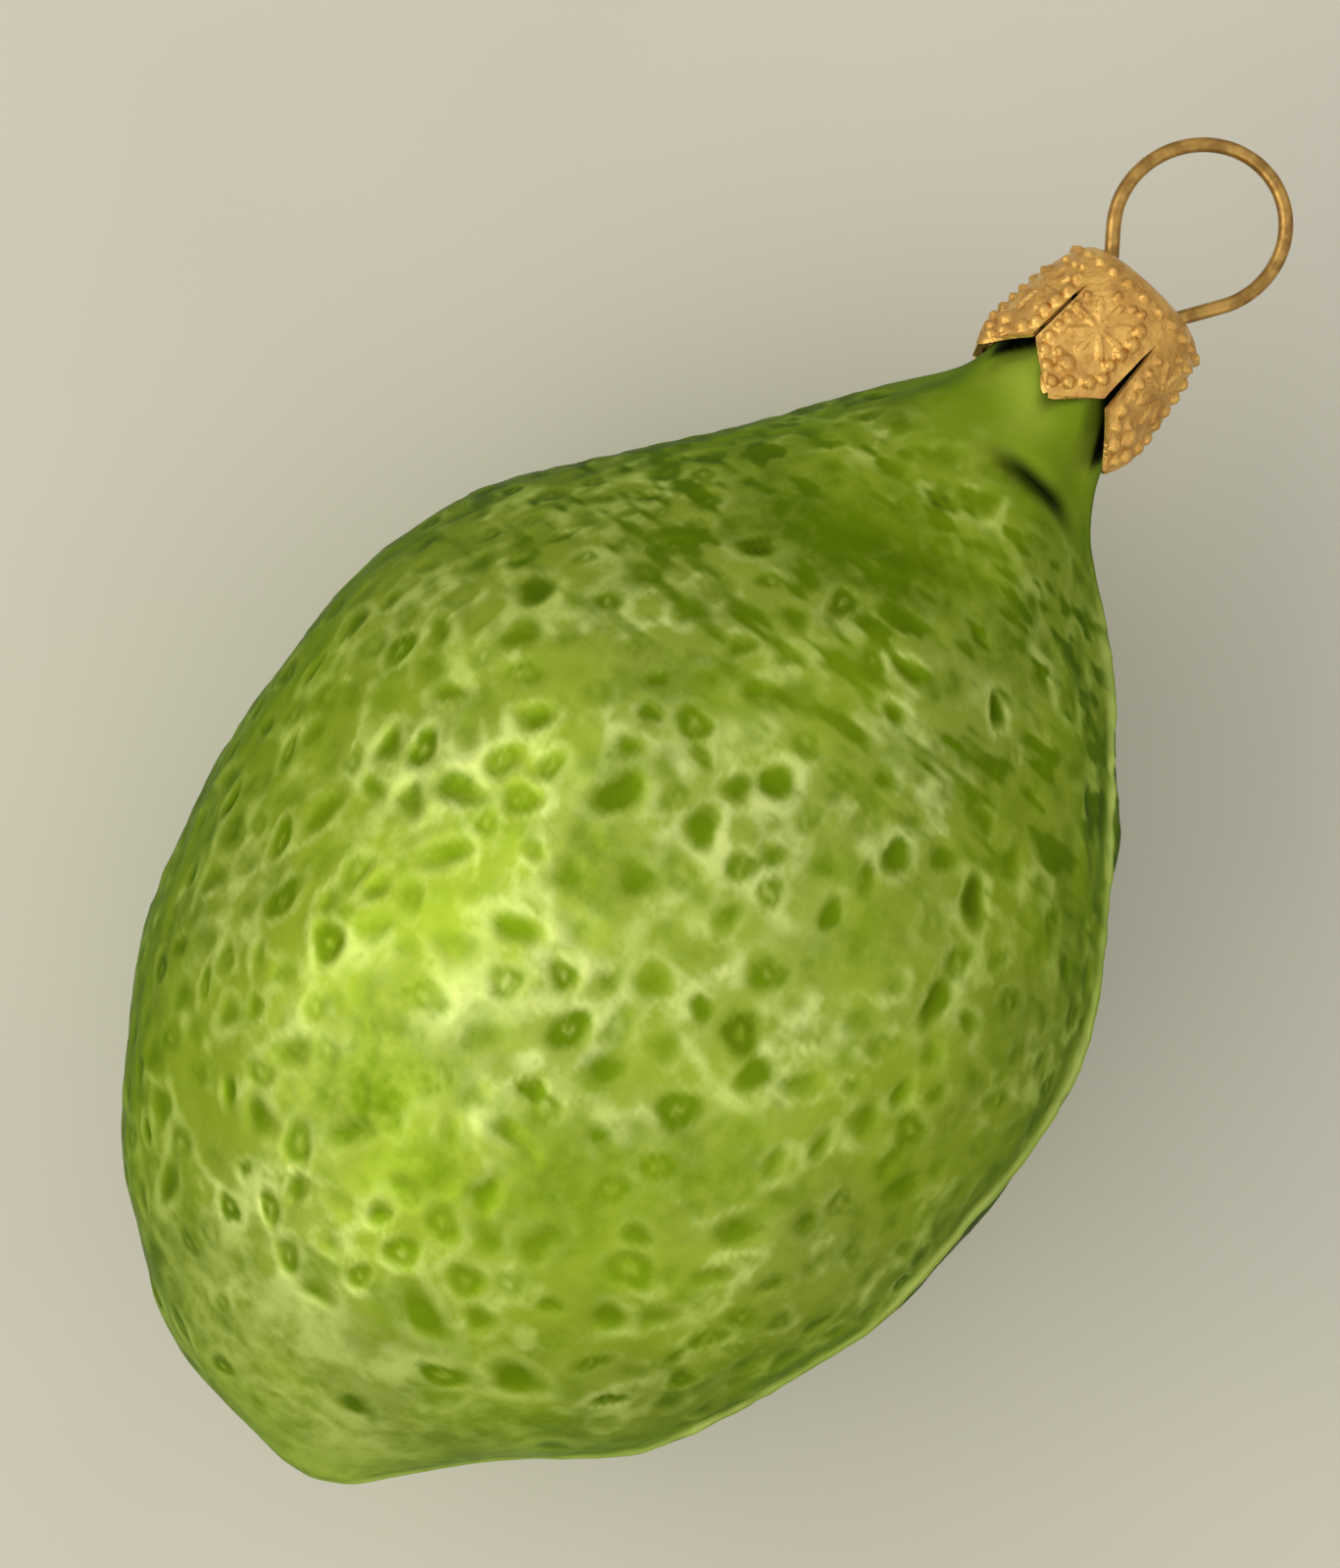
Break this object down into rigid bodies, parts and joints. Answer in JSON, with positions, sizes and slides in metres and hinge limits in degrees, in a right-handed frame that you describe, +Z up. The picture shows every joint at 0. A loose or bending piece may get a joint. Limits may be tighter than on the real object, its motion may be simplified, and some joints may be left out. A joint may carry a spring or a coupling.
{
  "type": "blown glass lime ornament",
  "caption": "Hollow blown-glass lime with a dimpled green skin, closed by a stamped gold crown cap with pointed embossed flaps and hung from a spring-wire loop.",
  "frame": {"origin": "middle of the small flat spot that the lime rests on", "axes": "+X along the fruit from the blossom end to the cap and its loop, +Z up while the lime lies at rest, +Y towards the fuller cheek"},
  "size_m": [0.0863, 0.0476, 0.0459],
  "materials": {
    "green_glass": "satin green lacquer over silvered glass, opaque",
    "gold_cap": "polished stamped sheet",
    "gold_wire": "brass-plated spring wire"
  },
  "bodies": {
    "root": {"glass_body": "green_glass", "crown_cap": "gold_cap", "hanger_wire": "gold_wire"}
  },
  "joints": []
}
